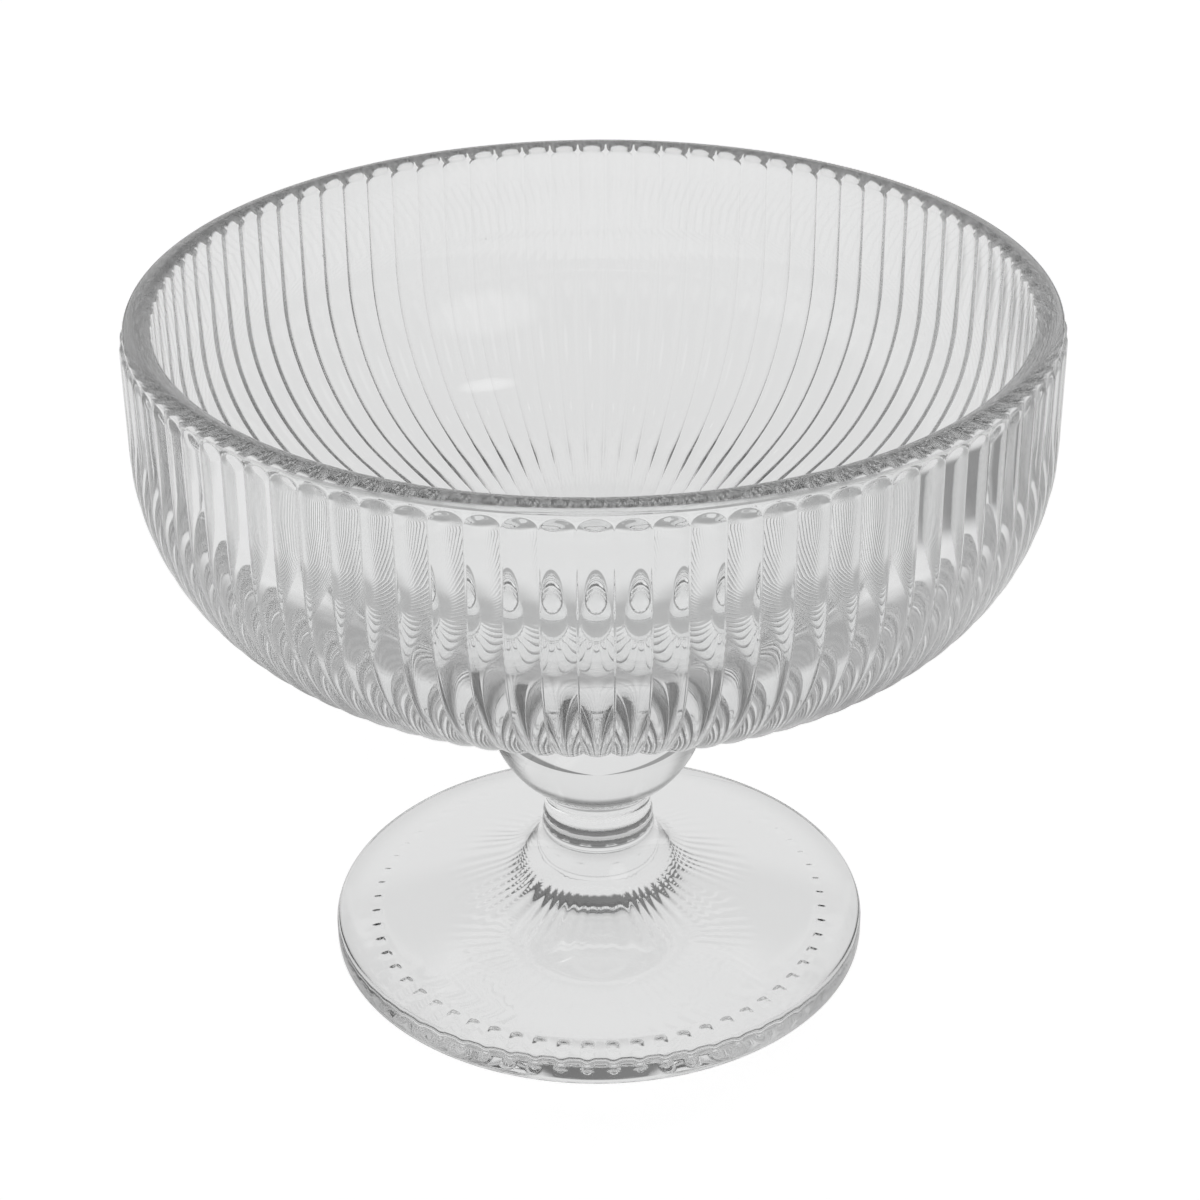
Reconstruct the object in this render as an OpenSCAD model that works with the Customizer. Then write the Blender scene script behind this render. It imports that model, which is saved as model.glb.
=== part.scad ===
// Footed dessert glass in clear pressed glass: a reeded bowl on a ball knop,
// a short stem and a flared round foot, fused together face to face.
// Origin at the centre of the foot's underside, +Z up, millimetres.

/* [Bowl] */
// Diameter over the crests of the ribs
bowl_d = 110.4; // [90:0.1:140]
// Height from the weld on the knop to the top of the lip
bowl_h = 43.7; // [36:0.1:60]
// Radius of the outer shoulder, where the wall turns into the base
shoulder_r = 25; // [18:0.5:34]
// Radius of the shallow curve of the base
base_r = 180; // [120:1:260]
// Thickness of the wall from the rib crests to the smooth inside
wall_t = 3.8; // [3:0.1:6]
// Height of the rounded crown of the lip
lip_h = 1; // [0.6:0.1:1.8]
// Thickness of the floor on the axis
floor_t = 4; // [3:0.1:8]
// Radius of the inner shoulder
inner_shoulder_r = 22; // [15:0.5:30]
// Radius of the inside floor
inner_base_r = 100; // [80:1:260]

/* [Ribs] */
// Number of convex ribs round the bowl
rib_count = 90; // [48:2:110]
// Height of a rib on the upright wall
rib_depth = 0.46; // [0.3:0.02:1.1]
// Height that the ribs keep under the base
rib_base_depth = 0.2; // [0.05:0.01:0.25]
// Diameter at which the ribs stop under the base
rib_end_d = 28; // [22:1:40]
// Height of the rounded arch at the top of each rib
arch_h = 1.5; // [1:0.1:2.4]
// Height of the plain strip between the rib tops and the lip
strip_h = 0.3; // [0.2:0.1:6]

/* [Knop] */
// Diameter of the ball
knop_d = 28; // [22:0.1:36]
// Diameter of the weld between the ball and the bowl
weld_d = 15; // [10:0.1:20]
// Height of the weld pad under the bowl
weld_h = 0.3; // [0.2:0.05:1]

/* [Stem] */
// Diameter of the stem
stem_d = 14.2; // [10:0.1:18]
// Height of the stem between the foot and the knop
stem_h = 4.1; // [3:0.1:20]
// Depth of the hollow waist of the stem
waist = 0.25; // [0.1:0.05:0.8]

/* [Foot] */
// Diameter of the foot
foot_d = 69.2; // [56:0.1:90]
// Height of the foot's edge
edge_h = 3.8; // [3:0.1:6]
// Slope of the foot's upper face, in degrees
foot_slope = 16.5; // [8:0.5:24]
// Radius of the flare from the foot into the stem
flare_r = 8.5; // [5:0.5:14]
// Rounding of the edge above
edge_top_r = 1; // [0.5:0.1:1.4]
// Rounding of the edge below
edge_base_r = 0.8; // [0.4:0.1:1.4]
// Diameter of the shallow hollow under the foot
hollow_d = 54; // [44:0.5:60]
// Depth of that hollow on the axis
hollow_h = 1.2; // [0.6:0.1:2.4]
// Number of short grip notches in the bearing ring
notch_count = 60; // [36:2:90]
// Width of a notch
notch_w = 1; // [0.6:0.1:1.8]
// Depth of a notch
notch_h = 0.3; // [0.15:0.05:0.5]
// Length of a notch
notch_l = 1.8; // [1.2:0.1:3]
// Distance of the notches from the edge of the hollow
notch_in = 0.8; // [0.4:0.1:1.4]

/* [Hidden] */
$fn = 144;
glass = [0.84, 0.88, 0.89, 0.55];
// Length and angle by which a cutter stands clear of the solid it cuts
clear = 0.4;
slice_over = 8;

bowl_r = bowl_d / 2;
inner_r = bowl_r - wall_t;
knop_r = knop_d / 2;
weld_r = weld_d / 2;
stem_r = stem_d / 2;
foot_r = foot_d / 2;

// Flare of the foot: its centre stands off the stem, and touches the sloping face
flare_x = stem_r + flare_r;
foot_h = edge_h + (flare_r - (flare_x - foot_r) * sin(foot_slope)) / cos(foot_slope);

// Places of the pieces on the axis
knop_below = sqrt(knop_r ^ 2 - stem_r ^ 2);
knop_above = sqrt(knop_r ^ 2 - weld_r ^ 2);
knop_z = foot_h + stem_h + knop_below;
bowl_z = knop_z + knop_above;

// Outer and inner curves of the bowl, measured from the weld
shoulder_z = weld_h + base_r - tangent_rise(bowl_r, shoulder_r, base_r);
turn = base_angle(bowl_r, shoulder_r, base_r);
inner_shoulder_z =
    weld_h + floor_t + inner_base_r - tangent_rise(inner_r, inner_shoulder_r, inner_base_r);
inner_turn = base_angle(inner_r, inner_shoulder_r, inner_base_r);
valley_r = bowl_r - rib_depth;
lip_w = (valley_r - inner_r) / 2;
lip_z = bowl_h - lip_h;
arch_top_z = lip_z - strip_h;

// Angle at which the ribs stop under the base, and columns of points across one rib
rib_end_angle = asin(rib_end_d / 2 / base_r);
rib_columns = 4;

// Steps of the lofted bowl and of the foot's rounded edge
base_steps = 2;
shoulder_steps = 6;
lip_steps = 4;
edge_steps = 5;
// Parts of the arch's height at which the loft has a ring
arch_rings = [0, 0.5, 0.87, 1];

// Height between the centres of a base arc and of the shoulder arc that runs on from it
function tangent_rise(outer, shoulder, base) =
    sqrt((base - shoulder) ^ 2 - (outer - shoulder) ^ 2);

// Angle from the axis at which the base arc runs into the shoulder arc
function base_angle(outer, shoulder, base) = asin((outer - shoulder) / (base - shoulder));

// Outline point [x, z] on an arc round a centre, at an angle from straight down
function on_arc(centre, r, angle) = centre + r * [sin(angle), -cos(angle)];

// Even steps from one angle to another, both included
function sweep(from, to, steps) = [for (i = [0 : steps]) from + (to - from) * i / steps];

// Height of a rounded rib, from 0 in the valley to 1 on the crest, across its width
// and up the arch that closes its top
function rib_rise(across, climb) = max(0, 1 - (2 * across - 1) ^ 2 - climb ^ 2);

// Height of the ribs where the outline leans by an angle from straight down
function rib_height(lean) = rib_depth * sin(lean) + rib_base_depth * cos(lean);

// Outer outline from the end of the ribs to the strip, as [x, z, lean, climb of the arch]
function ribbed_outline() = [
    for (a = sweep(rib_end_angle, turn, base_steps))
        if (a < turn) concat(on_arc([0, weld_h + base_r], base_r, a), [a, 0]),
    for (a = sweep(turn, 90, shoulder_steps))
        concat(on_arc([bowl_r - shoulder_r, shoulder_z], shoulder_r, a), [a, 0]),
    for (climb = arch_rings)
        [bowl_r, arch_top_z - arch_h * (1 - climb), 90, climb]
];

// Outline of the smooth lip and inside, from the strip to the rim of the floor
function inner_outline() = [
    for (a = sweep(90, 270, lip_steps))
        [inner_r + lip_w * (1 + sin(a)), lip_z - lip_h * cos(a)],
    for (a = sweep(90, inner_turn, shoulder_steps))
        on_arc([inner_r - inner_shoulder_r, inner_shoulder_z], inner_shoulder_r, a),
    on_arc([0, weld_h + floor_t + inner_base_r], inner_base_r, inner_turn / 2)
];

// Outline of the weld pad under the bowl
function pad_outline() = [
    [weld_r, 0],
    on_arc([0, weld_h + base_r], base_r, asin(weld_r / base_r))
];

// Ring of points round the axis
function ring(x, z, count) = [
    for (i = [0 : count - 1])
        [x * cos(i * 360 / count), x * sin(i * 360 / count), z]
];

// Ring of points over the ribs at one place [x, z, lean, climb] of the outline
function ribbed_ring(place) = [
    for (i = [0 : rib_columns * rib_count - 1])
        let (
            drop = rib_height(place[2]) * (1 - rib_rise((i % rib_columns) / rib_columns, place[3])),
            x = place[0] - drop * sin(place[2]),
            a = i * 360 / (rib_columns * rib_count)
        )
        [x * cos(a), x * sin(a), place[1] + drop * cos(place[2])]
];

// Triangles between two rings of equal count that start at given places in the points
function band_faces(low, high, count) = [
    for (i = [0 : count - 1])
        let (j = (i + 1) % count)
        each [[low + i, high + i, high + j], [low + i, high + j, low + j]]
];

// Triangles between a ring of one point a rib and a ring of rib_columns points a rib,
// which comes last where the outline runs from the plain ring to the ribbed one
function rib_faces(plain, ribbed, ribbed_last) = [
    for (i = [0 : rib_count - 1])
        let (
            half = rib_columns / 2,
            ends = [plain + i, plain + (i + 1) % rib_count],
            fan = [
                for (k = [0 : rib_columns - 1])
                    [
                        ends[k < half ? 0 : 1],
                        ribbed + rib_columns * i + k,
                        ribbed + (rib_columns * i + k + 1) % (rib_columns * rib_count)
                    ],
                [ends[0], ribbed + rib_columns * i + half, ends[1]]
            ]
        )
        each [for (f = fan) ribbed_last ? f : [f[2], f[1], f[0]]]
];

module bowl() {
    pad = pad_outline();
    ribbed = ribbed_outline();
    inner = inner_outline();
    wide = rib_columns * rib_count;
    ribbed_start = len(pad) * rib_count;
    inner_start = ribbed_start + len(ribbed) * wide;
    centre = inner_start + len(inner) * rib_count;
    points = [
        for (p = pad) each ring(p[0], p[1], rib_count),
        for (p = ribbed) each ribbed_ring(p),
        for (p = inner) each ring(p[0], p[1], rib_count),
        [0, 0, weld_h + floor_t]
    ];
    last = centre - rib_count;
    faces = concat(
        [[for (i = [0 : rib_count - 1]) i]],
        band_faces(0, rib_count, rib_count),
        rib_faces(rib_count, ribbed_start, true),
        [for (k = [1 : len(ribbed) - 1])
            each band_faces(ribbed_start + (k - 1) * wide, ribbed_start + k * wide, wide)],
        rib_faces(inner_start, inner_start - wide, false),
        [for (k = [1 : len(inner) - 1])
            each band_faces(inner_start + (k - 1) * rib_count, inner_start + k * rib_count, rib_count)],
        [for (i = [0 : rib_count - 1]) [last + i, centre, last + (i + 1) % rib_count]]
    );
    color(glass)
        translate([0, 0, bowl_z])
            polyhedron(points, faces, convexity = 6);
}

// Slice of a disc between two angles, under half a turn
module slice(r, from, to) {
    reach = r / cos((to - from) / 2) + 1;
    intersection() {
        circle(r);
        polygon([
            [0, 0],
            reach * [cos(from), sin(from)],
            2 * reach * [cos((from + to) / 2), sin((from + to) / 2)],
            reach * [cos(to), sin(to)]
        ]);
    }
}

module knop()
    color(glass)
        translate([0, 0, knop_z])
            rotate_extrude()
                intersection() {
                    circle(knop_r);
                    translate([0, -knop_below]) square([knop_r + 1, knop_below + knop_above]);
                }

module stem() {
    waist_r = ((stem_h / 2) ^ 2 + waist ^ 2) / (2 * waist);
    color(glass)
        translate([0, 0, foot_h])
            rotate_extrude()
                difference() {
                    square([stem_r, stem_h]);
                    translate([stem_r - waist + waist_r, stem_h / 2]) circle(waist_r);
                }
}

// Half section of the foot: sloping face, flare into the stem and rounded edge
module foot_section() {
    across = [sin(foot_slope), cos(foot_slope)];
    top = [foot_r - edge_top_r, edge_h - edge_top_r * (1 - across[0]) / across[1]];
    base = [foot_r - edge_base_r, edge_base_r];
    flare = [flare_x, foot_h];
    difference() {
        polygon([
            [0, 0],
            for (a = sweep(0, 90, edge_steps)) on_arc(base, edge_base_r, a),
            for (a = sweep(90, 180 - foot_slope, edge_steps)) on_arc(top, edge_top_r, a),
            flare - flare_r * across,
            flare,
            [0, foot_h]
        ]);
        translate(flare) slice(flare_r, 180 - slice_over, 270 - foot_slope + slice_over);
    }
}

module hollow() {
    hollow_r = hollow_d / 2;
    dome_r = (hollow_r ^ 2 + hollow_h ^ 2) / (2 * hollow_h);
    rotate_extrude()
        intersection() {
            translate([0, hollow_h - dome_r]) circle(dome_r);
            translate([0, -clear]) square([hollow_r + clear, hollow_h + 2 * clear]);
        }
}

module notch() {
    r = ((notch_w / 2) ^ 2 + notch_h ^ 2) / (2 * notch_h);
    translate([0, hollow_d / 2 + notch_in, notch_h - r])
        rotate([-90, 0, 0]) cylinder(r = r, h = notch_l);
}

module foot()
    color(glass)
        difference() {
            rotate_extrude() foot_section();
            hollow();
            for (i = [0 : notch_count - 1])
                rotate((i + 0.5) * 360 / notch_count) notch();
        }

bowl();
knop();
stem();
foot();
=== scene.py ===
"""Footed dessert glass in clear pressed glass, on a plain white studio floor.

The reeded bowl, the ball knop, the short stem and the flared foot are separate pieces, fused
face to face. Each one stands for the solid of the same name. Pieces are shaped in millimetres
and put in the frame in metres.
"""

import logging
import math
from dataclasses import dataclass
from enum import Enum, IntEnum
from typing import Any, ClassVar, Iterator, Optional, Union

import bmesh
import bpy
from mathutils import Matrix, Vector


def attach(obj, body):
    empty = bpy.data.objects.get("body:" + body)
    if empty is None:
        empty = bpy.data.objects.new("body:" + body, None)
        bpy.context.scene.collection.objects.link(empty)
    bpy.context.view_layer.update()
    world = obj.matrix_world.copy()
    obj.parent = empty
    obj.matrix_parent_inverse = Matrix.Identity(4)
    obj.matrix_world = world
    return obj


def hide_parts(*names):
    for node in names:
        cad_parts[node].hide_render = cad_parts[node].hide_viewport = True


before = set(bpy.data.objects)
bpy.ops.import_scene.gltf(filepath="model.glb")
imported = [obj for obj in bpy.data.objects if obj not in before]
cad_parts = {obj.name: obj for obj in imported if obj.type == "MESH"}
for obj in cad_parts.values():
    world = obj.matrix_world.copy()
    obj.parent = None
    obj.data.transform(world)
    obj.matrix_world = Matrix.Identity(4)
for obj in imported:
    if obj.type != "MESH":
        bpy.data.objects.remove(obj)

LOG = logging.getLogger("dessert_glass")
BODY = "root"
METRES = 0.001
STEM_R = 7.1
BOWL_WELD_R = 7.5
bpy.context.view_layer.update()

Point = tuple[float, float]
Colour = tuple[float, float, float, float]


class Face(IntEnum):
    """Material slots that the pieces share."""

    SKIN = 0
    INSIDE = 1
    WELD = 2


class Ray(Enum):
    """Kinds of ray that the stage tells apart."""

    CAMERA = "Is Camera Ray"
    GLOSSY = "Is Glossy Ray"
    TRANSMISSION = "Is Transmission Ray"


def steps(start: float, end: float, count: int) -> Iterator[float]:
    """Even steps from one number to another, both included.

    Args:
        start: first number.
        end: last number.
        count: number of steps.

    Returns:
        The count + 1 numbers in order.
    """
    return (start + (end - start) * i / count for i in range(count + 1))


def arc(centre: Point, radius: float, start: float, end: float, count: int) -> list[Point]:
    """Outline points on an arc, by angles in degrees from straight down.

    Args:
        centre: radius and height of the centre.
        radius: radius of the arc.
        start: first angle, 0 for straight down and 90 for straight out.
        end: last angle.
        count: number of steps.

    Returns:
        The points, both ends included.
    """
    angles = (math.radians(a) for a in steps(start, end, count))
    return [
        (centre[0] + radius * math.sin(a), centre[1] - radius * math.cos(a)) for a in angles
    ]


def line(start: Point, end: Point, count: int) -> list[Point]:
    """Outline points on a straight line.

    Args:
        start: first point.
        end: last point.
        count: number of steps.

    Returns:
        The points, both ends included.
    """
    return [
        (start[0] + (end[0] - start[0]) * t, start[1] + (end[1] - start[1]) * t)
        for t in steps(0.0, 1.0, count)
    ]


def smooth_step(low: float, high: float, x: float) -> float:
    """Soft rise from 0 to 1.

    Args:
        low: where the rise starts.
        high: where it ends.
        x: the place on it.

    Returns:
        A number from 0 to 1.
    """
    t = min(1.0, max(0.0, (x - low) / (high - low)))
    return t * t * (3.0 - 2.0 * t)


class Field:
    """A number that varies over a surface, with arithmetic that adds Math nodes."""

    def __init__(self, board: "Board", socket: bpy.types.NodeSocket) -> None:
        """Wraps a socket.

        Args:
            board: the node tree that the socket is in.
            socket: the output socket.
        """
        self.board = board
        self.socket = socket

    def __add__(self, other: "Number") -> "Field":
        """Sum."""
        return self.board.maths("ADD", self, other)

    __radd__ = __add__

    def __sub__(self, other: "Number") -> "Field":
        """Difference."""
        return self.board.maths("SUBTRACT", self, other)

    def __rsub__(self, other: "Number") -> "Field":
        """Difference from a number."""
        return self.board.maths("SUBTRACT", other, self)

    def __neg__(self) -> "Field":
        """The number with its sign turned."""
        return 0.0 - self

    def __mul__(self, other: "Number") -> "Field":
        """Product."""
        return self.board.maths("MULTIPLY", self, other)

    __rmul__ = __mul__

    def __truediv__(self, other: "Number") -> "Field":
        """Quotient."""
        return self.board.maths("DIVIDE", self, other)

    def __rtruediv__(self, other: "Number") -> "Field":
        """Quotient of a number by the field."""
        return self.board.maths("DIVIDE", other, self)

    def __pow__(self, other: "Number") -> "Field":
        """Power."""
        return self.board.maths("POWER", self, other)

    def sine(self) -> "Field":
        """Sine of an angle in radians."""
        return self.board.maths("SINE", self)

    def most(self, other: "Number") -> "Field":
        """The larger of two numbers."""
        return self.board.maths("MAXIMUM", self, other)

    def reach(self, other: "Field") -> "Field":
        """Distance from the axis, where the two fields are the parts across it."""
        return (self * self + other * other) ** 0.5

    def rise(self, low: float, high: float) -> "Field":
        """Soft rise from 0 at low to 1 at high."""
        return self.board.field(
            "ShaderNodeMapRange",
            {"interpolation_type": "SMOOTHSTEP"},
            {"Value": self, "From Min": low, "From Max": high},
        )


Number = Union[Field, float]


class Board:
    """Node tree of a material or of the world."""

    def __init__(self, owner: Union[bpy.types.Material, bpy.types.World]) -> None:
        """Clears the owner's tree for new nodes.

        Args:
            owner: the material or world.
        """
        owner.use_nodes = True
        self.tree = owner.node_tree
        self.tree.nodes.clear()

    def node(
        self, kind: str, settings: Optional[dict] = None, inputs: Optional[dict] = None
    ) -> bpy.types.Node:
        """Adds a node.

        Args:
            kind: type of the node.
            settings: its properties by name, set first.
            inputs: values or links of its sockets, by name or place.

        Returns:
            The node.
        """
        made = self.tree.nodes.new(kind)
        for name, value in (settings or {}).items():
            setattr(made, name, value)
        for name, value in (inputs or {}).items():
            source = value.socket if isinstance(value, Field) else value
            if isinstance(source, bpy.types.NodeSocket):
                self.tree.links.new(source, made.inputs[name])
            else:
                made.inputs[name].default_value = source
        return made

    def field(
        self,
        kind: str,
        settings: Optional[dict] = None,
        inputs: Optional[dict] = None,
        output: Union[str, int] = 0,
    ) -> Field:
        """Adds a node and wraps one of its outputs.

        Args:
            kind: type of the node.
            settings: its properties by name.
            inputs: values or links of its sockets.
            output: name or place of the output.

        Returns:
            The output as a field.
        """
        return Field(self, self.node(kind, settings, inputs).outputs[output])

    def maths(self, operation: str, *values: Number) -> Field:
        """Adds a Math node.

        Args:
            operation: what it works out.
            values: its numbers in order.

        Returns:
            Its result.
        """
        return self.field("ShaderNodeMath", {"operation": operation}, dict(enumerate(values)))

    def coordinates(self, kind: str) -> bpy.types.NodeSocket:
        """Texture coordinates of a kind."""
        return self.node("ShaderNodeTexCoord").outputs[kind]

    def parts(self, vector: bpy.types.NodeSocket) -> list[Field]:
        """The three numbers of a vector."""
        split = self.node("ShaderNodeSeparateXYZ", inputs={0: vector})
        return [Field(self, socket) for socket in split.outputs]

    def noise(self, place: bpy.types.NodeSocket, size: float, detail: float) -> Field:
        """Soft noise with waves of a size in metres."""
        return self.field(
            "ShaderNodeTexNoise", inputs={"Vector": place, "Scale": 1.0 / size, "Detail": detail}
        )

    def blend(self, share: Field, first: Colour, second: Colour) -> bpy.types.NodeSocket:
        """Mixes two colours.

        Args:
            share: 0 for the first colour and 1 for the second.
            first: the first colour.
            second: the second colour.

        Returns:
            The mixed colour's socket.
        """
        mixed = self.node(
            "ShaderNodeMix", {"data_type": "RGBA"}, {"Factor": share, 6: first, 7: second}
        )
        return mixed.outputs[2]

    def bump(
        self, height: Field, distance: float, normal: Optional[bpy.types.NodeSocket] = None
    ) -> bpy.types.NodeSocket:
        """Adds a bump.

        Args:
            height: height from 0 to 1.
            distance: what a height of 1 is, in metres.
            normal: the normal that it starts from, if another bump comes first.

        Returns:
            The new normal.
        """
        inputs: dict[str, Any] = {"Height": height, "Distance": distance}
        if normal is not None:
            inputs["Normal"] = normal
        return self.node("ShaderNodeBump", inputs=inputs).outputs[0]

    def ray(self, kind: Ray) -> Field:
        """1 for rays of a kind, and 0 for others."""
        return self.field("ShaderNodeLightPath", output=kind.value)

    def surface(self, shader: bpy.types.Node) -> None:
        """Ends a material in a shader."""
        self.node("ShaderNodeOutputMaterial", inputs={"Surface": shader.outputs[0]})


@dataclass(frozen=True)
class ClearGlass:
    """Clear pressed glass with the marks that its mould leaves.

    Attributes:
        name: name of the material.
        tint: colour of the clean glass.
        speck_colour: colour of a seed or of a grain of dust.
        ior: index of refraction.
        swirl_size: size of the soft waves in the skin, in metres.
        swirl_height: height of those waves, in metres.
        swirl_detail: how much finer detail those waves have.
        mark_pitch: distance between the turned rings, in metres.
        mark_height: height of the turned rings, in metres.
        mark_sway: how far the waves push a ring aside, in metres.
        mark_start: radii between which the rings start, in metres.
        mark_fade: heights between which the rings end, in metres.
        speck_cell: size of the cells that may hold a speck, in metres.
        speck_size: size of a speck, as a part of its cell.
        speck_edge: how much wider the speck's soft edge is.
        speck_share: part of the cells that hold a speck.
        haze: roughness where the skin is dullest.
        haze_size: size of the dull patches, in metres.
        haze_detail: how much finer detail the patches have.
        haze_span: noise between which the skin goes from clear to dull.
    """

    name: str
    tint: Colour = (0.985, 0.988, 0.988, 1.0)
    speck_colour: Colour = (0.45, 0.45, 0.45, 1.0)
    ior: float = 1.51
    swirl_size: float = 0.007
    swirl_height: float = 2e-6
    swirl_detail: float = 1.0
    mark_pitch: float = 0.001
    mark_height: float = 0.0
    mark_sway: float = 0.002
    mark_start: Point = (0.039, 0.043)
    mark_fade: Point = (0.064, 0.07)
    speck_cell: float = 0.007
    speck_size: float = 0.016
    speck_edge: float = 1.6
    speck_share: float = 0.12
    haze: float = 0.02
    haze_size: float = 0.0175
    haze_detail: float = 2.0
    haze_span: Point = (0.45, 0.75)

    def material(self) -> bpy.types.Material:
        """Builds the material.

        Returns:
            The material.
        """
        made = bpy.data.materials.new(self.name)
        board = Board(made)
        place = board.coordinates("Object")
        swirl = board.noise(place, self.swirl_size, self.swirl_detail)
        normal = board.bump(swirl, self.swirl_height)
        if self.mark_height > 0.0:
            normal = board.bump(self.marks(board, place, swirl), self.mark_height, normal)
        dull = board.noise(place, self.haze_size, self.haze_detail).rise(*self.haze_span)
        specks = self.specks(board, place)
        shader = board.node(
            "ShaderNodeBsdfPrincipled",
            inputs={
                "Base Color": board.blend(specks, self.tint, self.speck_colour),
                "Roughness": dull * self.haze,
                "IOR": self.ior,
                "Transmission Weight": 1.0,
                "Normal": normal,
            },
        )
        board.surface(shader)
        return made

    def marks(self, board: Board, place: bpy.types.NodeSocket, swirl: Field) -> Field:
        """Fine rings that the turned plunger leaves round the axis.

        Args:
            board: the material's nodes.
            place: object coordinates.
            swirl: slow change that makes the rings uneven.

        Returns:
            Height from 0 to 1.
        """
        x, y, z = board.parts(place)
        reach = x.reach(y)
        along = reach + z + swirl * self.mark_sway
        ring = (along * (math.tau / self.mark_pitch)).sine() * 0.5 + 0.5
        return ring * reach.rise(*self.mark_start) * (1.0 - z.rise(*self.mark_fade))

    def specks(self, board: Board, place: bpy.types.NodeSocket) -> Field:
        """Small seeds and grains of dust, one in some of the cells.

        Args:
            board: the material's nodes.
            place: object coordinates.

        Returns:
            1 on a speck and 0 elsewhere.
        """
        cells = board.node(
            "ShaderNodeTexVoronoi", inputs={"Vector": place, "Scale": 1.0 / self.speck_cell}
        )
        chosen = board.field("ShaderNodeSeparateColor", inputs={0: cells.outputs["Color"]})
        near = Field(board, cells.outputs["Distance"])
        present = board.maths("GREATER_THAN", chosen, 1.0 - self.speck_share)
        return present * (1.0 - near.rise(self.speck_size, self.speck_edge * self.speck_size))


@dataclass(frozen=True)
class FusedWeld:
    """The face where two pieces of glass are fused into one, which nothing shows of."""

    name: str = "fused_weld"

    def material(self) -> bpy.types.Material:
        """Builds the material.

        Returns:
            The material.
        """
        made = bpy.data.materials.new(self.name)
        board = Board(made)
        board.surface(board.node("ShaderNodeBsdfPrincipled", inputs={"Alpha": 0.0}))
        return made


@dataclass
class GlassPiece:
    """A turned piece of the glass, made of equal sectors round the axis.

    Attributes:
        base: height at which the piece starts.
        sectors: number of sectors.
        columns: steps round the axis in one sector.
    """

    node: ClassVar[str] = ""
    merge_gap: ClassVar[float] = 1e-4
    near: ClassVar[float] = 1e-3
    base: float = 0.0
    sectors: int = 16
    columns: int = 10

    def outline(self) -> list[Point]:
        """Half section as radius and height, from the axis below round to the axis above."""
        raise NotImplementedError

    def welds(self) -> tuple[float, ...]:
        """Heights of the flat faces that are fused to other pieces."""
        raise NotImplementedError

    def sculpt(self, mesh: bmesh.types.BMesh) -> None:
        """Shapes one sector where it isn't plainly turned."""

    def crease(self, mesh: bmesh.types.BMesh) -> None:
        """Shapes the whole skin where its sectors differ."""

    def face_slot(self, face: bmesh.types.BMFace) -> Face:
        """Slot of a face that isn't a weld."""
        return Face.SKIN

    def build(self, finishes: list[bpy.types.Material]) -> bpy.types.Object:
        """Models, dresses and places the piece.

        Args:
            finishes: the materials in the order of the slots.

        Returns:
            The finished object.
        """
        mesh = bmesh.new()
        self.turn_sector(mesh)
        self.sculpt(mesh)
        self.repeat(mesh)
        self.crease(mesh)
        self.dress(mesh)
        bmesh.ops.scale(mesh, vec=(METRES,) * 3, verts=mesh.verts)
        data = bpy.data.meshes.new(self.node + "_glass")
        mesh.to_mesh(data)
        mesh.free()
        for finish in finishes:
            data.materials.append(finish)
        piece = bpy.data.objects.new(self.node + "_glass", data)
        bpy.context.scene.collection.objects.link(piece)
        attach(piece, BODY)
        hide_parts(self.node)
        LOG.info("%s: %d faces", piece.name, len(data.polygons))
        return piece

    def turn_sector(self, mesh: bmesh.types.BMesh) -> None:
        """Spins the outline through one sector.

        Args:
            mesh: the empty mesh.
        """
        points = [mesh.verts.new((r, 0.0, z)) for r, z in self.outline()]
        edges = [mesh.edges.new(pair) for pair in zip(points, points[1:])]
        bmesh.ops.spin(
            mesh,
            geom=points + edges,
            axis=(0.0, 0.0, 1.0),
            angle=math.tau / self.sectors,
            steps=self.columns,
        )

    def repeat(self, mesh: bmesh.types.BMesh) -> None:
        """Repeats the sector round the axis and closes the skin.

        Args:
            mesh: the shaped sector.
        """
        bmesh.ops.spin(
            mesh,
            geom=mesh.verts[:] + mesh.edges[:] + mesh.faces[:],
            axis=(0.0, 0.0, 1.0),
            angle=math.tau * (self.sectors - 1) / self.sectors,
            steps=self.sectors - 1,
            use_duplicate=True,
        )
        bmesh.ops.remove_doubles(mesh, verts=mesh.verts, dist=self.merge_gap)
        bmesh.ops.recalc_face_normals(mesh, faces=mesh.faces)

    def dress(self, mesh: bmesh.types.BMesh) -> None:
        """Smooths the faces and gives each one its slot.

        Args:
            mesh: the shaped mesh, in millimetres.
        """
        mesh.normal_update()
        for face in mesh.faces:
            face.smooth = True
            face.material_index = Face.WELD if self.is_weld(face) else self.face_slot(face)
        for edge in mesh.edges:
            slots = {face.material_index for face in edge.link_faces}
            edge.smooth = not (Face.WELD in slots and len(slots) > 1)

    def is_weld(self, face: bmesh.types.BMFace) -> bool:
        """True on a flat face that is fused to the next piece."""
        height = face.calc_center_median().z
        level = abs(face.normal.z) > 1.0 - self.near
        return level and any(abs(height - weld) < self.near for weld in self.welds())


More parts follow.
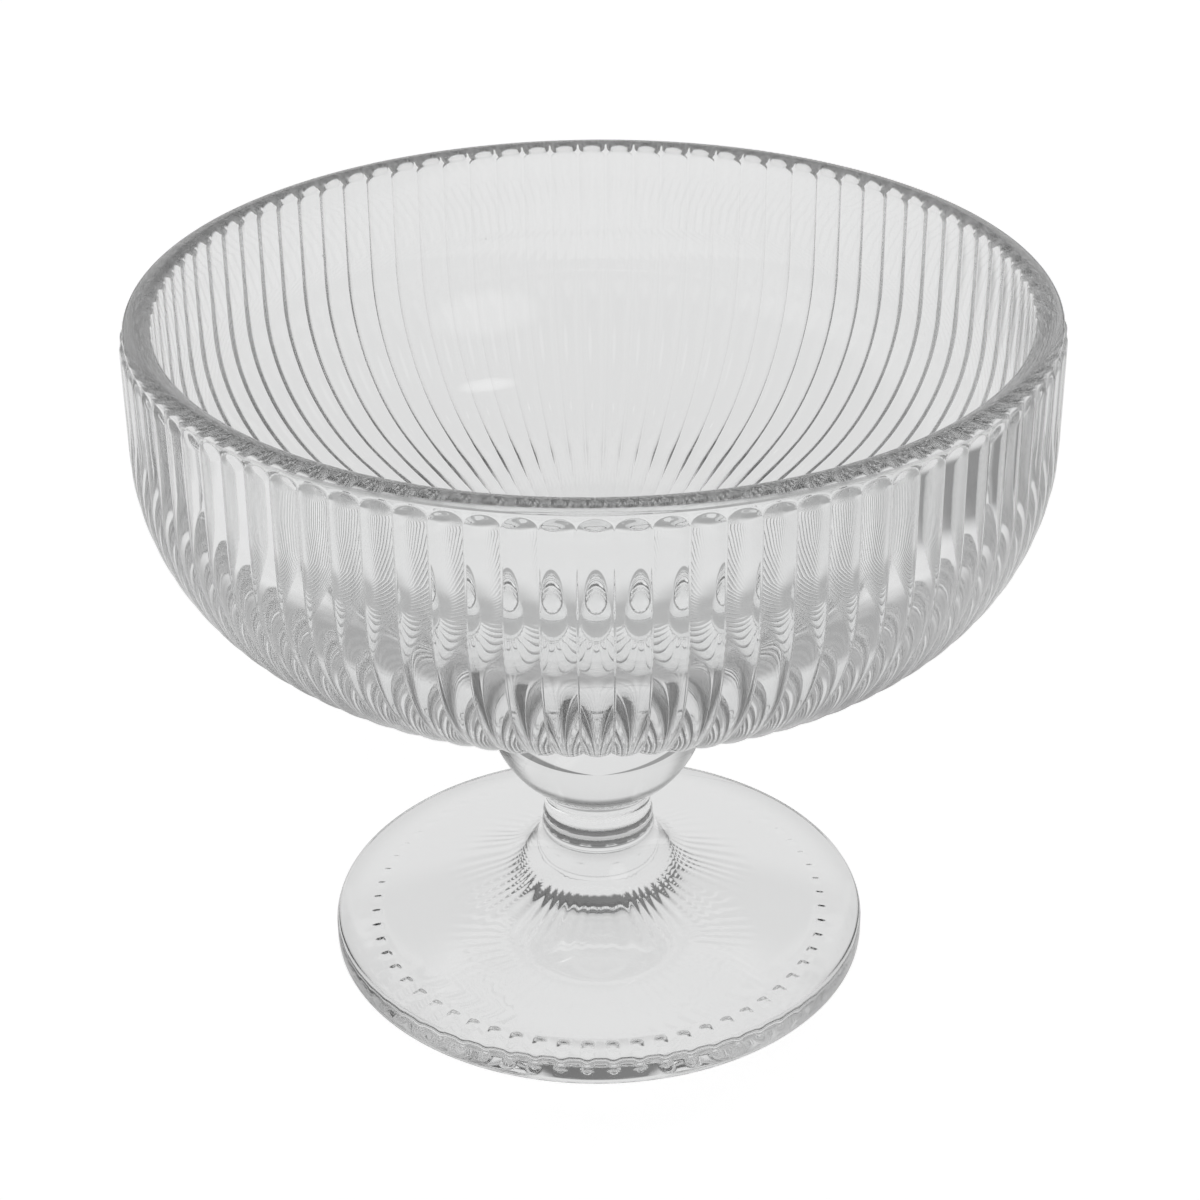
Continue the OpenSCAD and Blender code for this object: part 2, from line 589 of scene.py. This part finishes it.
@dataclass(frozen=True)
class Wall:
    """Curve of a bowl's wall in section: a wide arc over the axis that runs into a shoulder.

    Attributes:
        outer: radius of the wall above the shoulder.
        shoulder_r: radius of the shoulder arc.
        base_r: radius of the wide arc.
        low: height of the wide arc on the axis.
    """

    outer: float
    shoulder_r: float
    base_r: float
    low: float

    @property
    def base(self) -> Point:
        """Centre of the wide arc."""
        return 0.0, self.low + self.base_r

    @property
    def shoulder(self) -> Point:
        """Centre of the shoulder arc."""
        out = self.outer - self.shoulder_r
        return out, self.base[1] - math.sqrt((self.base_r - self.shoulder_r) ** 2 - out**2)

    def points(self, start: float, base_count: int, shoulder_count: int) -> list[Point]:
        """Outline points of the curve.

        Args:
            start: radius at which the points start.
            base_count: number of steps on the wide arc.
            shoulder_count: number of steps on the shoulder.

        Returns:
            The points from the start out to the top of the shoulder.
        """
        first = math.degrees(math.asin(start / self.base_r))
        turn = math.degrees(math.asin(self.shoulder[0] / (self.base_r - self.shoulder_r)))
        wide = arc(self.base, self.base_r, first, turn, base_count)
        return wide + arc(self.shoulder, self.shoulder_r, turn, 90.0, shoulder_count)[1:]


@dataclass
class Bowl(GlassPiece):
    """Reeded bowl: a smooth inside, convex ribs with arched tops outside, and a plain lip.

    Heights in the fields are measured from the weld on the knop.

    Attributes:
        height: height of the lip.
        outside: curve over the rib crests.
        inside: curve of the inside.
        rib_depth: depth of the valleys on the wall.
        rib_base_depth: their depth where the skin faces down.
        rib_end_r: radius at which the ribs end under the base.
        rib_fade: length over which they fade out there.
        lip_h: height of the rounded lip.
        band_h: height of the lip and the plain band below it.
        arch_h: height of the arched rib tops.
        arch_foot: height of an arch's ends, as a part of its own.
        arch_rows: heights of the rows in the arches, as parts of the arches' height.
        valley_gather: how far the columns move towards the valleys.
    """

    node: ClassVar[str] = "bowl"
    sectors: int = 90
    height: float = 43.7
    outside: Wall = Wall(outer=55.2, shoulder_r=25.0, base_r=180.0, low=0.3)
    inside: Wall = Wall(outer=51.4, shoulder_r=22.0, base_r=100.0, low=4.3)
    rib_depth: float = 0.46
    rib_base_depth: float = 0.2
    rib_end_r: float = 20.0
    rib_fade: float = 18.0
    lip_h: float = 1.0
    band_h: float = 1.3
    arch_h: float = 1.5
    arch_foot: float = 0.1
    arch_rows: tuple[float, ...] = (0.35, 0.6, 0.78, 0.9, 0.97, 1.0)
    valley_gather: float = 0.6

    def __post_init__(self) -> None:
        """Works out the heights of the bands."""
        self.band_z = self.height - self.band_h
        self.arch_z = self.band_z - self.arch_h
        self.lip_z = self.height - self.lip_h

    def welds(self) -> tuple[float, ...]:
        """The pad on the knop."""
        return (self.base,)

    def outline(self) -> list[Point]:
        """Half section of the bowl, with the ribbed part drawn over the rib crests.

        Returns:
            Points from the axis of the weld, over the lip, to the axis of the floor.
        """
        outer_r, inner_r = self.outside.outer, self.inside.outer
        lip_w = (outer_r - self.rib_depth - inner_r) / 2.0
        lip = [
            (inner_r + lip_w * (1.0 + x), self.lip_z + self.lip_h * z)
            for x, z in arc((0.0, 0.0), 1.0, 90.0, 270.0, 16)
        ]
        outside = self.outside.points(BOWL_WELD_R, 16, 26)
        inside = self.inside.points(0.0, 8, 16)
        points = [
            *line((0.0, 0.0), (BOWL_WELD_R, 0.0), 2),
            *outside,
            *line(outside[-1], (outer_r, self.arch_z), 4)[1:],
            *((outer_r, self.arch_z + self.arch_h * t) for t in self.arch_rows),
            *line((outer_r, self.band_z), (outer_r, self.lip_z), 3)[1:],
            *lip[1:],
            *line(lip[-1], inside[-1], 3)[1:],
            *reversed(inside[:-1]),
        ]
        return [(r, self.base + z) for r, z in points]

    def sculpt(self, mesh: bmesh.types.BMesh) -> None:
        """Draws the skin in between the ribs and arches their tops.

        Args:
            mesh: the turned mesh.
        """
        for vert in mesh.verts:
            radius = math.hypot(vert.co.x, vert.co.y)
            height = vert.co.z - self.base
            lean = self.lean_at(radius, height)
            if lean is None:
                continue
            across = self.gather(math.atan2(vert.co.y, vert.co.x) / math.tau * self.sectors)
            rise, lift = self.rib(2.0 * across - 1.0, height)
            drop = self.rib_height(lean, radius) * (1.0 - rise)
            angle = across / self.sectors * math.tau
            radius -= drop * math.sin(lean)
            vert.co = (
                radius * math.cos(angle),
                radius * math.sin(angle),
                vert.co.z + lift + drop * math.cos(lean),
            )

    def gather(self, across: float) -> float:
        """Moves columns towards the valleys, where the skin bends most."""
        return across - self.valley_gather * math.sin(math.tau * across) / math.tau

    def lean_at(self, radius: float, height: float) -> Optional[float]:
        """Lean of the ribbed skin from straight down.

        Args:
            radius: distance from the axis.
            height: height above the weld.

        Returns:
            The angle in radians, or None off the ribbed skin.
        """
        wall, shoulder = self.outside, self.outside.shoulder
        if height >= shoulder[1] and abs(radius - wall.outer) < self.near:
            return math.pi / 2.0
        out, up = radius - shoulder[0], height - shoulder[1]
        if out > 0.0 and up < 0.0 and abs(math.hypot(out, up) - wall.shoulder_r) < self.near:
            return math.atan2(out, -up)
        up = height - wall.base[1]
        if radius > self.rib_end_r and abs(math.hypot(radius, up) - wall.base_r) < self.near:
            return math.atan2(radius, -up)
        return None

    def rib_height(self, lean: float, radius: float) -> float:
        """Height of the ribs at a lean, fading out under the base.

        Args:
            lean: lean of the skin in radians.
            radius: distance from the axis.

        Returns:
            The height from the valley to the crest.
        """
        depth = self.rib_depth * math.sin(lean) + self.rib_base_depth * math.cos(lean)
        return depth * smooth_step(self.rib_end_r, self.rib_end_r + self.rib_fade, radius)

    def rib(self, side: float, height: float) -> Point:
        """Form of a rib and of the arch at its top.

        Args:
            side: place across the rib, from -1 to 1.
            height: height above the weld.

        Returns:
            Rise from 0 in the valley to 1 on the crest, and how far the point moves up.
        """
        round_rise = max(0.0, 1.0 - side * side)
        if height <= self.arch_z:
            return round_rise, 0.0
        crown = self.arch_h * (self.arch_foot + (1.0 - self.arch_foot) * math.sqrt(round_rise))
        climb = (height - self.arch_z) / self.arch_h
        if climb <= 1.0:
            return round_rise * (1.0 - climb**3) ** 1.5, climb * (crown - self.arch_h)
        left = (self.lip_z - height) / (self.lip_z - self.band_z)
        return 0.0, left * (crown - self.arch_h)

    def face_slot(self, face: bmesh.types.BMFace) -> Face:
        """The inside is what faces the axis or the sky within the lip."""
        centre = face.calc_center_median()
        inward = -(face.normal.x * centre.x + face.normal.y * centre.y)
        return Face.INSIDE if inward > 1e-6 and face.normal.z > -0.5 else Face.SKIN


@dataclass
class Knop(GlassPiece):
    """Solid ball between the bowl and the stem, cut flat at both welds."""

    node: ClassVar[str] = "knop"
    radius: float = 14.0

    @property
    def centre(self) -> float:
        """Height of the ball's centre."""
        return self.base + math.sqrt(self.radius**2 - STEM_R**2)

    @property
    def top(self) -> float:
        """Height of the weld under the bowl."""
        return self.centre + math.sqrt(self.radius**2 - BOWL_WELD_R**2)

    def welds(self) -> tuple[float, ...]:
        """The faces on the stem and under the bowl."""
        return self.base, self.top

    def outline(self) -> list[Point]:
        """Half section of the ball.

        Returns:
            Points from the axis below to the axis above.
        """
        low = math.degrees(math.asin(STEM_R / self.radius))
        high = 180.0 - math.degrees(math.asin(BOWL_WELD_R / self.radius))
        ball = arc((0.0, self.centre), self.radius, low, high, 72)
        return [(0.0, self.base), *ball, (0.0, self.top)]


@dataclass
class Stem(GlassPiece):
    """Short solid stem with a slight waist.

    Attributes:
        height: height between its welds.
        waist: how far its wall is drawn in at half height.
    """

    node: ClassVar[str] = "stem"
    height: float = 4.1
    waist: float = 0.25

    @property
    def top(self) -> float:
        """Height of the weld under the knop."""
        return self.base + self.height

    def welds(self) -> tuple[float, ...]:
        """The faces on the foot and under the knop."""
        return self.base, self.top

    def outline(self) -> list[Point]:
        """Half section of the stem.

        Returns:
            Points from the axis below to the axis above.
        """
        wall = [
            (STEM_R - self.waist * (1.0 - t * t), self.base + self.height * (t + 1.0) / 2.0)
            for t in steps(-1.0, 1.0, 12)
        ]
        return [(0.0, self.base), *wall, (0.0, self.top)]


@dataclass(frozen=True)
class Wave:
    """A wave round the axis.

    Attributes:
        height: how far it swings to each side.
        count: number of waves in a turn.
        start: its phase where the turn starts, in radians.
    """

    height: float
    count: int
    start: float

    def at(self, turn: float) -> float:
        """Swing at an angle in radians."""
        return self.height * math.sin(self.count * turn + self.start)


@dataclass
class Foot(GlassPiece):
    """Round foot: a sloping face that flares into the stem, and grip notches underneath.

    Attributes:
        radius: radius of the edge.
        edge_h: height at which the slope would reach the edge.
        slope: slope of the upper face in degrees.
        flare_r: radius of the flare between the slope and the stem.
        edge_top_r: radius of the edge's upper round.
        edge_base_r: radius of its lower round.
        hollow_r: radius of the hollow underneath.
        hollow_h: height of the hollow.
        notch_count: number of grip notches in the bearing ring.
        notch_w: width of a notch.
        notch_h: depth of a notch.
        notch_l: length of a notch.
        notch_in: distance from the hollow to a notch.
        notch_end: length of a notch's soft ends.
        crease_count: number of fine creases over the flare.
        crease_h: depth of a crease.
        crease_start: radii between which the creases start.
        crease_fade: radii between which they end.
        crease_sway: waves that make the creases' distances uneven, in radians of a crease.
        crease_swell: wave that makes their depths uneven, as a part of the depth.
    """

    node: ClassVar[str] = "foot"
    sectors: int = 30
    columns: int = 36
    radius: float = 34.6
    edge_h: float = 3.8
    slope: float = 16.5
    flare_r: float = 8.5
    edge_top_r: float = 1.2
    edge_base_r: float = 1.2
    hollow_r: float = 27.0
    hollow_h: float = 1.2
    notch_count: int = 60
    notch_w: float = 1.6
    notch_h: float = 0.1
    notch_l: float = 1.8
    notch_in: float = 0.8
    notch_end: float = 0.6
    crease_count: int = 60
    crease_h: float = 0.09
    crease_start: Point = (9.0, 12.0)
    crease_fade: Point = (13.5, 21.0)
    crease_sway: tuple[Wave, ...] = (Wave(1.5, 7, 0.6), Wave(1.0, 13, 2.0))
    crease_swell: Wave = Wave(0.25, 5, 1.0)

    def __post_init__(self) -> None:
        """Works out the flare's centre from the slope that it touches."""
        self.lean = math.radians(self.slope)
        flare_x = STEM_R + self.flare_r
        rise = self.flare_r + (self.radius - flare_x) * math.sin(self.lean)
        self.top = self.edge_h + rise / math.cos(self.lean)
        self.flare = (flare_x, self.top)
        self.notch_start = self.hollow_r + self.notch_in

    def welds(self) -> tuple[float, ...]:
        """The face under the stem."""
        return (self.top,)

    def outline(self) -> list[Point]:
        """Half section of the foot.

        Returns:
            Points from the axis of the hollow, round the edge, to the axis of the weld.
        """
        dome_r = (self.hollow_r**2 + self.hollow_h**2) / (2.0 * self.hollow_h)
        dome_angle = math.degrees(math.asin(self.hollow_r / dome_r))
        top_drop = self.edge_top_r * (1.0 - math.sin(self.lean)) / math.cos(self.lean)
        edge_top = (self.radius - self.edge_top_r, self.edge_h - top_drop)
        edge_base = (self.radius - self.edge_base_r, self.edge_base_r)
        rim = arc(edge_top, self.edge_top_r, 90.0, 180.0 - self.slope, 6)
        sweep = arc(self.flare, self.flare_r, -self.slope, -90.0, 20)
        fade_r = self.crease_fade[1]
        crease_end = (fade_r, self.edge_h + (self.radius - fade_r) * math.tan(self.lean))
        notch_far = self.notch_start + self.notch_l
        return [
            *arc((0.0, self.hollow_h - dome_r), dome_r, 180.0, 180.0 - dome_angle, 12),
            *line((self.hollow_r, 0.0), (self.notch_start, 0.0), 2)[1:],
            *line((self.notch_start, 0.0), (notch_far, 0.0), 12)[1:],
            *line((notch_far, 0.0), (edge_base[0], 0.0), 2)[1:],
            *arc(edge_base, self.edge_base_r, 0.0, 90.0, 6)[1:],
            *line((self.radius, edge_base[1]), (self.radius, edge_top[1]), 2)[1:],
            *rim[1:],
            *line(rim[-1], crease_end, 3)[1:],
            *line(crease_end, sweep[0], 8)[1:],
            *sweep[1:],
            (0.0, self.top),
        ]

    def sculpt(self, mesh: bmesh.types.BMesh) -> None:
        """Presses the grip notches into the bearing ring.

        Args:
            mesh: the turned mesh.
        """
        pitch = math.tau / self.notch_count
        for vert in mesh.verts:
            radius = math.hypot(vert.co.x, vert.co.y)
            past = radius - self.notch_start
            if abs(vert.co.z) > self.merge_gap or not 0.0 < past < self.notch_l:
                continue
            turn = math.atan2(vert.co.y, vert.co.x) % pitch - pitch / 2.0
            side = radius * turn / (self.notch_w / 2.0)
            ends = smooth_step(0.0, self.notch_end, min(past, self.notch_l - past))
            vert.co.z += self.notch_h * max(0.0, 1.0 - side * side) * ends

    def crease(self, mesh: bmesh.types.BMesh) -> None:
        """Draws fine, uneven creases out from the stem over the flare.

        Args:
            mesh: the closed mesh.
        """
        mesh.normal_update()
        for vert in mesh.verts:
            radius = math.hypot(vert.co.x, vert.co.y)
            ring = smooth_step(*self.crease_start, radius) - smooth_step(*self.crease_fade, radius)
            if ring <= 0.0 or vert.co.z < 2.0 * self.hollow_h:
                continue
            turn = math.atan2(vert.co.y, vert.co.x)
            sway = sum(wave.at(turn) for wave in self.crease_sway)
            drawn = 0.5 + 0.5 * math.sin(self.crease_count * turn + sway)
            depth = 1.0 - self.crease_swell.height + self.crease_swell.at(turn)
            vert.co -= vert.normal * (self.crease_h * depth * drawn * ring)


@dataclass(frozen=True)
class Panel:
    """A round soft light far away, seen as a disc with a soft edge.

    Attributes:
        azimuth: direction in degrees, 0 for straight behind the glass and 90 for its right.
        elevation: height over the horizon in degrees.
        reach: angle in degrees from its centre to the outside of its edge.
        level: brightness.
        edge: part of that angle that the soft edge takes.
    """

    azimuth: float
    elevation: float
    reach: float
    level: float
    edge: float

    def light(self, direction: list[Field]) -> Field:
        """Brightness of the panel in a direction.

        Args:
            direction: the direction's three parts.

        Returns:
            The level inside the disc and 0 outside.
        """
        turn, rise = math.radians(self.azimuth), math.radians(self.elevation)
        axis = (
            math.sin(turn) * math.cos(rise),
            math.cos(turn) * math.cos(rise),
            math.sin(rise),
        )
        facing = sum((part * share for part, share in zip(direction, axis)), start=0.0)
        outer = math.cos(math.radians(self.reach))
        inner = math.cos(math.radians(self.reach * (1.0 - self.edge)))
        return facing.rise(outer, inner) * self.level


@dataclass(frozen=True)
class Studio:
    """A wide floor of white paper, pale walls round it, soft panels of light, and the camera.

    Attributes:
        floor_r: radius of the floor, in metres.
        floor_gap: how far the paper lies under the foot, in metres.
        paper: how much light the paper gives back.
        glow: what the camera sees of the paper beyond that.
        tone: brightness of the paper as the glass sees it.
        shade: part of that brightness which is lost under the bowl, a painted shadow of the bowl.
        shade_in: radii between which that shade starts, in metres.
        shade_out: radii between which it ends, in metres.
        left_shade_span: where the painted shade on the left of the paper starts and is whole, in
            metres.
        right_shade_span: where it does so on the right.
        beyond: brightness of the paper within that painted shade, on the left and on the right.
        painted_front_light: painted light, the brightness that the paper gains towards the front.
        painted_front_light_span: where that painted light starts and is whole, in metres.
        wall: brightness of the pale wall behind the glass.
        wall_side: where a wall starts and is whole, as a cosine of the angle to its middle.
        wall_top: where the walls start to end and end, as a sine of the elevation.
        left_wall: brightness that a duller wall adds on the left.
        room: brightness of the room on the left and on the right.
        room_span: where the left passes to the right, as a sine of the azimuth.
        back_gain: brightness that the room gains over the wall.
        ceiling: brightness of the ceiling.
        ceiling_span: where the ceiling starts and is whole, as a sine of the elevation.
        panels: the soft lights.
        eye: place of the camera, in metres.
        pitch: how far it looks down, in degrees.
        yaw: how far it is turned to the left, in degrees.
        roll: how far it is turned round its own axis, in degrees.
        lens: focal length, in millimetres on a sensor of 36.
        bounces: most bounces of light, in all and through glass.
        glossy_bounces: most bounces off glass.
    """

    floor_r: float = 6.0
    floor_gap: float = 0.0003
    paper: float = 0.88
    glow: float = 0.86
    tone: float = 0.79
    shade: float = 0.5
    shade_in: Point = (0.03, 0.042)
    shade_out: Point = (0.066, 0.095)
    left_shade_span: Point = (0.2, 0.23)
    right_shade_span: Point = (0.12, 0.19)
    beyond: Point = (0.34, 0.26)
    painted_front_light: float = 0.2
    painted_front_light_span: Point = (0.05, 0.2)
    wall: float = 0.95
    wall_side: Point = (0.6, 0.85)
    wall_top: Point = (0.36, 0.5)
    left_wall: float = 0.45
    room: Point = (0.15, 0.08)
    room_span: Point = (-0.8, 0.8)
    back_gain: float = 0.12
    ceiling: float = 0.12
    ceiling_span: Point = (0.6, 0.95)
    panels: tuple[Panel, ...] = (
        Panel(azimuth=146.0, elevation=32.0, reach=18.0, level=1.2, edge=0.7),
        Panel(azimuth=90.0, elevation=73.0, reach=6.0, level=2.5, edge=0.8),
    )
    eye: tuple[float, float, float] = (0.0, -0.2957, 0.2136)
    pitch: float = 29.11
    yaw: float = -0.096
    roll: float = -0.5
    lens: float = 81.54
    bounces: int = 32
    glossy_bounces: int = 16

    def build(self) -> None:
        """Sets up the floor, the light and the camera."""
        self.lay_floor()
        self.light_world()
        self.place_camera()
        scene = bpy.context.scene
        scene.view_settings.view_transform = "Standard"
        scene.cycles.max_bounces = self.bounces
        scene.cycles.transmission_bounces = self.bounces
        scene.cycles.transparent_max_bounces = self.bounces
        scene.cycles.glossy_bounces = self.glossy_bounces

    def lay_floor(self) -> None:
        """Lays the paper on the table."""
        mesh = bmesh.new()
        bmesh.ops.create_circle(mesh, cap_ends=True, radius=self.floor_r, segments=96)
        bmesh.ops.translate(mesh, vec=(0.0, 0.0, -self.floor_gap), verts=mesh.verts)
        data = bpy.data.meshes.new("studio_floor")
        mesh.to_mesh(data)
        mesh.free()
        data.materials.append(self.paper_material())
        floor = bpy.data.objects.new("studio_floor", data)
        bpy.context.scene.collection.objects.link(floor)

    def paper_material(self) -> bpy.types.Material:
        """Paper that the camera sees as white, with the glass's own shadow.

        Returns:
            The material.
        """
        made = bpy.data.materials.new("studio_paper")
        board = Board(made)
        paper = board.node("ShaderNodeBsdfDiffuse", inputs={"Color": (*[self.paper] * 3, 1.0)})
        glow = board.node(
            "ShaderNodeEmission", inputs={"Color": board.ray(Ray.CAMERA) * self.glow}
        )
        lit = board.node("ShaderNodeAddShader", inputs={0: paper.outputs[0], 1: glow.outputs[0]})
        # The glass sees an emitted paper tone, with painted shadow, painted light and painted
        # shade, in place of the lit paper.
        seen = board.node("ShaderNodeEmission", inputs={"Color": self.floor_tone(board)})
        through = board.ray(Ray.GLOSSY).most(board.ray(Ray.TRANSMISSION))
        both = board.node(
            "ShaderNodeMixShader", inputs={0: through, 1: lit.outputs[0], 2: seen.outputs[0]}
        )
        board.surface(both)
        return made

    def floor_tone(self, board: Board) -> Field:
        """Brightness of the paper seen in the glass.

        Args:
            board: the paper's nodes.

        Returns:
            The brightness: a painted shadow under the bowl, painted light towards the front, and
                painted shade far to the left and right.
        """
        x, y, _ = board.parts(board.coordinates("Object"))
        reach = x.reach(y)
        # Painted shadow of the bowl: a ring of the paper under the bowl is darker.
        under = reach.rise(*self.shade_in) - reach.rise(*self.shade_out)
        # Painted light: the paper is brighter towards the front.
        lit = self.tone + (-y).rise(*self.painted_front_light_span) * self.painted_front_light
        tone = lit * (1.0 - under * self.shade)
        # Painted shade: the paper darkens far to the left and far to the right.
        left, right = self.beyond
        tone = tone + (-x).rise(*self.left_shade_span) * (left - tone)
        return tone + x.rise(*self.right_shade_span) * (right - tone)

    def light_world(self) -> None:
        """Lights the stage from the walls, the room and the panels."""
        world = bpy.data.worlds.new("studio_light")
        bpy.context.scene.world = world
        board = Board(world)
        direction = board.parts(board.coordinates("Generated"))
        light = self.room_light(*direction)
        for panel in self.panels:
            light = light + panel.light(direction)
        camera = board.ray(Ray.CAMERA)
        background = board.node(
            "ShaderNodeBackground", inputs={"Strength": camera + (1.0 - camera) * light}
        )
        board.node("ShaderNodeOutputWorld", inputs={"Surface": background.outputs[0]})

    def room_light(self, x: Field, y: Field, up: Field) -> Field:
        """Brightness of the room and its walls in a direction.

        Args:
            x: the direction's part to the right.
            y: its part to the back.
            up: its part upwards.

        Returns:
            The brightness without the panels.
        """
        level = x.reach(y)
        left, right = self.room
        behind = (y / level).rise(*self.wall_side)
        room = left + (x / level).rise(*self.room_span) * (right - left)
        room = room + behind * self.back_gain
        room = room + up.rise(*self.ceiling_span) * (self.ceiling - room)
        low = 1.0 - up.rise(*self.wall_top)
        room = room + (-x / level).rise(*self.wall_side) * low * self.left_wall
        return room + behind * low * (self.wall - room)

    def place_camera(self) -> None:
        """Sets the camera at the photograph's viewing angle."""
        data = bpy.data.cameras.new("camera")
        data.lens = self.lens
        data.sensor_width = 36.0
        data.clip_start, data.clip_end = 0.01, 50.0
        camera = bpy.data.objects.new("camera", data)
        camera.matrix_world = (
            Matrix.Translation(Vector(self.eye))
            @ Matrix.Rotation(math.radians(self.yaw), 4, "Z")
            @ Matrix.Rotation(math.radians(90.0 - self.pitch), 4, "X")
            @ Matrix.Rotation(math.radians(self.roll), 4, "Z")
        )
        bpy.context.scene.collection.objects.link(camera)
        bpy.context.scene.camera = camera


def main() -> None:
    """Builds the glass from the foot up, and its studio."""
    logging.basicConfig(level=logging.INFO, format="%(message)s")
    finishes = [
        ClearGlass("pressed_glass").material(),
        ClearGlass("plunger_glass", mark_height=5e-7).material(),
        FusedWeld().material(),
    ]
    foot = Foot()
    stem = Stem(base=foot.top)
    knop = Knop(base=stem.top)
    bowl = Bowl(base=knop.top)
    for piece in (foot, stem, knop, bowl):
        piece.build(finishes)
    Studio().build()


if __name__ == "__main__":
    main()
